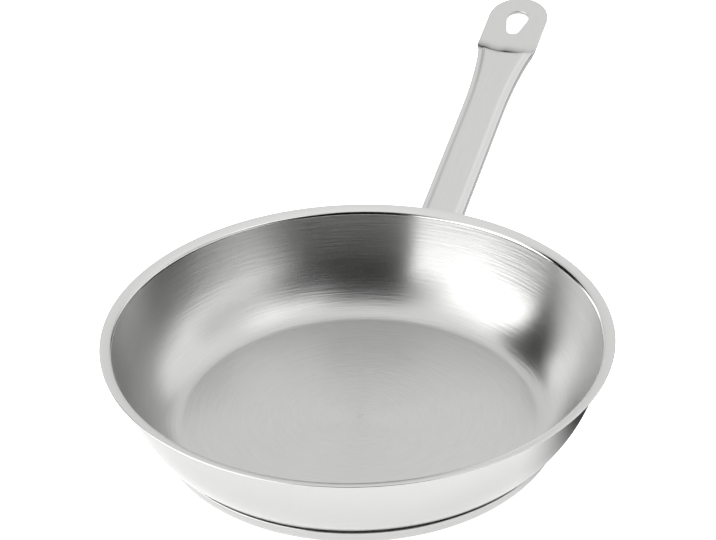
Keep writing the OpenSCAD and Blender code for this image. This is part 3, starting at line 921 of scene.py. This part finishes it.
def weld_steel(finishes):
    """Steel that was melted and set again: matt, grey and slightly mottled."""
    rough, spot = 0.6, 0.8 * MM
    material, tree, shader = metal("fused_steel", finishes.weld, rough)
    where = add_node(tree, "ShaderNodeTexCoord").outputs["Object"]
    close = add_node(tree, "ShaderNodeVectorMath", {0: where, "Scale": 1 / spot}, operation="SCALE")
    grain(tree, shader, close.outputs[0], finishes.weld, rough, tint=0.15, dull=0.08, dent=0.02 * MM)
    return material


def coat(name, material):
    """Gives a node of the frame its metal."""
    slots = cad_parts[name].data.materials
    slots.clear()
    slots.append(material)


# Operators


class PAN_OT_bowl(bpy.types.Operator):
    """Builds the bowl: brushed inside, satin on the rim, polished outside and on its bend"""

    bl_idname = "pan.bowl"
    bl_label = "Bowl"

    def execute(self, context):
        sizes, finishes = context.scene.pan_bowl, context.scene.pan_finishes
        profile, inner_count = bowl_skin(sizes)
        points, faces, rows = turned_skin(profile, TURNS)
        bend_row = FLOOR_STEPS + WALL_STEPS
        lip_row = bend_row + BEND_STEPS
        edge_row = inner_count + EDGE_STEPS + LIP_STEPS
        zones = np.select([rows < bend_row, rows < lip_row, rows < edge_row], [0, 2, 1], 2)
        materials = [brushed_steel(finishes), satin_steel(finishes), polished_steel(finishes)]
        piece = new_piece("bowl", points, faces, materials, zones)
        weld_and_check(piece)
        place_piece(piece, "bowl_steel", "pan_body")
        return {"FINISHED"}


class PAN_OT_base_cap(bpy.types.Operator):
    """Builds the pressed steel cap under the base"""

    bl_idname = "pan.base_cap"
    bl_label = "Base cap"

    def execute(self, context):
        sizes, finishes = context.scene.pan_cap, context.scene.pan_finishes
        points, faces, _ = turned_skin(cap_profile(sizes), TURNS)
        piece = new_piece("pressed_cap", points, faces, [polished_steel(finishes)])
        weld_and_check(piece)
        place_piece(piece, "cap_steel", "base_cap")
        return {"FINISHED"}


class PAN_OT_base_layers(bpy.types.Operator):
    """Gives the heat spreader and the two layers of filler their metals"""

    bl_idname = "pan.base_layers"
    bl_label = "Base layers"

    def execute(self, context):
        finishes = context.scene.pan_finishes
        filler = braze_filler(finishes)
        coat("heat_core", core_aluminium(finishes))
        coat("upper_braze_layer", filler)
        coat("lower_braze_layer", filler)
        return {"FINISHED"}


class PAN_OT_handle(bpy.types.Operator):
    """Builds the handle from its foot on the wall to the hanging tab"""

    bl_idname = "pan.handle"
    bl_label = "Handle"

    def execute(self, context):
        scene = context.scene
        sizes, bowl = scene.pan_handle, scene.pan_bowl
        heights, radii, _ = outer_wall(bowl)
        level = bowl.height - sizes.drop
        rise = math.tan(sizes.slope)
        guess_z = level - (bowl.rim_r - np.interp(level, heights, radii)) * rise
        root_y = np.interp(guess_z, heights, radii)
        root_z = level - (bowl.rim_r - root_y) * rise
        root = (root_y - bowl.rim_r) / math.cos(sizes.slope)
        points, faces, top, edge, below, joint = handle_loft(sizes, bowl, root)
        tab_points, tab_faces = tab_skin(sizes, bowl, top, edge, below, joint)
        foot_points, foot_faces, marks = foot_skin(sizes, bowl, scene.pan_cap, root_z)
        shift = len(points)
        second = shift + len(tab_points)
        all_faces = [*faces, *(f + shift for f in tab_faces), *(f + second for f in foot_faces)]
        all_points = np.vstack([points, tab_points, foot_points])
        steel = handle_steel(scene.pan_finishes, sizes)
        piece = new_piece("pressed_handle", all_points, all_faces, [steel])
        weld_and_check(piece)
        paint_heat(piece, sizes, marks)
        paint_shade_and_sheen(piece, sizes, bowl)
        place_piece(piece, "handle_steel", "handle")
        return {"FINISHED"}


class PAN_OT_welds(bpy.types.Operator):
    """Gives the four spot welds their metal"""

    bl_idname = "pan.welds"
    bl_label = "Spot welds"

    def execute(self, context):
        material = weld_steel(context.scene.pan_finishes)
        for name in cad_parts:
            if name.startswith("weld_nugget"):
                coat(name, material)
        return {"FINISHED"}


class PAN_OT_studio(bpy.types.Operator):
    """Sets up the white floor, the soft light and the camera"""

    bl_idname = "pan.studio"
    bl_label = "Studio"

    def execute(self, context):
        studio = context.scene.pan_studio
        white_floor(studio)
        soft_light(context.scene)
        aim_camera(context.scene, studio)
        context.scene.view_settings.view_transform = "Standard"
        return {"FINISHED"}


# How far the paper reaches, how far it lies under the pan, and how it shines to the camera
PAPER_REACH, PAPER_GAP, PAPER_SHINE = 4.0, 0.05 * MM, 1.5
PAPER_COLOURS = (("Base Color", "#e6e6e6"), ("Emission Color", "#ffffff"))
# The pan's shadow, painted into the paper's colour and glow behind it on the right, away from the key
# softbox: its middle, how far it is whole, where it ends, and how light it is in the middle
SHADOW_MIDDLE = (128 * MM, 50 * MM, 0)
SHADOW_WHOLE, SHADOW_END, SHADOW_LIGHT = 25 * MM, 100 * MM, 0.04


def white_floor(studio):
    """A wide sheet of white paper, lit so that it shows no edge. The camera sees it pure white,
    while the steel mirrors it with the pan's shadow painted into its colour and glow."""
    low, high, level = -PAPER_REACH, PAPER_REACH, -PAPER_GAP
    corners = [(low, low, level), (high, low, level), (high, high, level), (low, high, level)]
    paper = bpy.data.materials.new("white_paper")
    paper.use_nodes = True
    tree = paper.node_tree
    shader = tree.nodes["Principled BSDF"]
    shader.inputs["Roughness"].default_value = 0.9
    seen = add_node(tree, "ShaderNodeLightPath").outputs["Is Camera Ray"]
    glow = add_node(tree, "ShaderNodeMix", {
        0: seen, 2: studio.floor_glow, 3: PAPER_SHINE}, data_type="FLOAT").outputs[0]
    tree.links.new(glow, shader.inputs["Emission Strength"])
    where = add_node(tree, "ShaderNodeTexCoord").outputs["Object"]
    away = add_node(tree, "ShaderNodeVectorMath", {
        0: where, 1: SHADOW_MIDDLE}, operation="DISTANCE").outputs["Value"]
    shade = add_node(tree, "ShaderNodeMapRange", {
        0: away, 1: SHADOW_WHOLE, 2: SHADOW_END, 3: SHADOW_LIGHT, 4: 1.0,
    }, interpolation_type="SMOOTHSTEP").outputs[0]
    # painted shadow: it darkens the paper's colour and glow round its middle, except where the camera sees
    # the paper
    lit = add_node(tree, "ShaderNodeMath", {0: shade, 1: seen}, operation="MAXIMUM").outputs[0]
    for socket, hex_colour in PAPER_COLOURS:
        tone = add_node(tree, "ShaderNodeMix", {
            0: lit, 6: (0, 0, 0, 1), 7: (*linear(hex_colour), 1)}, data_type="RGBA")
        tree.links.new(tone.outputs[2], shader.inputs[socket])
    floor = new_piece("paper_floor", corners, [(0, 1, 2, 3)], [paper])


# Brightness of the room at the horizon and overhead
ROOM_LOW, ROOM_HIGH = 0.9, 1.2
# Soft cards of light and dark round the pan, one over the other: the middle's azimuth, from
# the handle round to the right, and elevation, the width and height, how soft the upright
# and the level edges are, all in degrees, and the brightness
CARDS = (
    ("left_horizon", 98, 10, 172, 42, 10, 24, 0.0),
    ("left_strip_light", 76, 19, 104, 9, 34, 4, 2.6),
    ("left_gap", 134, 41, 40, 34, 26, 6, 0.0),
    ("left_overhead_light", 121, 60, 106, 12, 46, 8, 2.2),
    ("handle_light", 40, 36, 44, 36, 10, 18, 1.2),
    ("black_flag", 170, 28, 64, 80, 34, 6, 0.0),
    ("key_softbox", 228.8, 6, 78, 50, 3, 6, 2.5),
    ("key_softbox_far_side", 248, 15, 62, 54, 20, 50, 3.0),
    ("black_gap_low", 271, 21, 21, 50, 4, 4, 0.0),
    ("black_gap_high", 281, 32, 42, 30, 2, 2, 0.0),
    ("right_fill", 294, 5, 15, 32, 6, 4, 3.0),
)


def card_mask(tree, place, middle, reach, soft):
    """1 within reach of the middle and 0 past it, with a soft edge."""
    away = add_node(tree, "ShaderNodeMath", {0: place, 1: middle}, operation="SUBTRACT").outputs[0]
    turned = add_node(tree, "ShaderNodeMath", {0: away, 1: 180.0, 2: -180.0}, operation="WRAP").outputs[0]
    size = add_node(tree, "ShaderNodeMath", {0: turned}, operation="ABSOLUTE").outputs[0]
    return add_node(tree, "ShaderNodeMapRange", {
        0: size, 1: reach - soft / 2, 2: reach + soft / 2, 3: 1.0, 4: 0.0,
    }, interpolation_type="SMOOTHSTEP").outputs[0]


def soft_light(scene):
    """A pale room with soft cards of light and dark round the pan, which the camera itself
    sees as plain white."""
    world = bpy.data.worlds.new("studio")
    world.use_nodes = True
    scene.world = world
    tree = world.node_tree
    towards = add_node(tree, "ShaderNodeTexCoord").outputs["Generated"]
    x, y, z = add_node(tree, "ShaderNodeSeparateXYZ", {0: towards}).outputs
    turn = add_node(tree, "ShaderNodeMath", {0: x, 1: y}, operation="ARCTAN2").outputs[0]
    climb = add_node(tree, "ShaderNodeMath", {0: z}, operation="ARCSINE").outputs[0]
    azimuth = add_node(tree, "ShaderNodeMath", {0: turn}, operation="DEGREES").outputs[0]
    elevation = add_node(tree, "ShaderNodeMath", {0: climb}, operation="DEGREES").outputs[0]
    light = add_node(tree, "ShaderNodeMapRange", {
        0: elevation, 1: 0.0, 2: 90.0, 3: ROOM_LOW, 4: ROOM_HIGH}).outputs[0]
    for _, around, up, width, height, soft_side, soft_edge, brightness in CARDS:
        across = card_mask(tree, azimuth, around, width / 2, soft_side)
        upright = card_mask(tree, elevation, up, height / 2, soft_edge)
        mask = add_node(tree, "ShaderNodeMath", {0: across, 1: upright}, operation="MULTIPLY").outputs[0]
        light = add_node(tree, "ShaderNodeMix", {
            0: mask, 2: light, 3: brightness}, data_type="FLOAT").outputs[0]
    seen = add_node(tree, "ShaderNodeLightPath").outputs["Is Camera Ray"]
    shown = add_node(tree, "ShaderNodeMix", {0: seen, 2: light, 3: 1.0}, data_type="FLOAT").outputs[0]
    tree.links.new(shown, tree.nodes["Background"].inputs["Color"])


def aim_camera(scene, studio):
    """The camera looks at the rim's centre, then turns by the three small angles."""
    rim = Vector((0, 0, scene.pan_bowl.height))
    turn, level = studio.turn, math.cos(studio.elevation)
    away = Vector((math.sin(turn) * level, -math.cos(turn) * level, math.sin(studio.elevation)))
    data = bpy.data.cameras.new("camera")
    data.lens = studio.lens
    data.clip_start = 0.01
    camera = bpy.data.objects.new("camera", data)
    scene.collection.objects.link(camera)
    facing = (-away).to_track_quat("-Z", "Y").to_matrix()
    facing = facing @ Matrix.Rotation(studio.pan, 3, "Y") @ Matrix.Rotation(studio.raise_view, 3, "X")
    facing = facing @ Matrix.Rotation(studio.roll, 3, "Z")
    camera.matrix_world = Matrix.Translation(rim + away * studio.distance) @ facing.to_4x4()
    scene.camera = camera


STEPS = (PAN_OT_bowl, PAN_OT_base_cap, PAN_OT_base_layers, PAN_OT_handle, PAN_OT_welds, PAN_OT_studio)


class PAN_PT_panel(bpy.types.Panel):
    """Lists the steps in the order in which they are run"""

    bl_idname = "PAN_PT_panel"
    bl_label = "Frying pan"
    bl_space_type = "VIEW_3D"
    bl_region_type = "UI"
    bl_category = "Frying pan"

    def draw(self, context):
        for step in STEPS:
            self.layout.operator(step.bl_idname)


SETTINGS = {
    "pan_bowl": PanBowlSizes,
    "pan_cap": PanCapSizes,
    "pan_handle": PanHandleSizes,
    "pan_finishes": PanFinishes,
    "pan_studio": PanStudio,
}


def register():
    for name, group in SETTINGS.items():
        bpy.utils.register_class(group)
        setattr(bpy.types.Scene, name, bpy.props.PointerProperty(type=group))
    for cls in (*STEPS, PAN_PT_panel):
        bpy.utils.register_class(cls)


def unregister():
    for cls in (PAN_PT_panel, *reversed(STEPS)):
        bpy.utils.unregister_class(cls)
    for name, group in reversed(SETTINGS.items()):
        delattr(bpy.types.Scene, name)
        bpy.utils.unregister_class(group)


def main():
    register()
    bpy.ops.pan.bowl()
    bpy.ops.pan.base_cap()
    bpy.ops.pan.base_layers()
    bpy.ops.pan.handle()
    bpy.ops.pan.welds()
    bpy.ops.pan.studio()


if __name__ == "__main__":
    main()
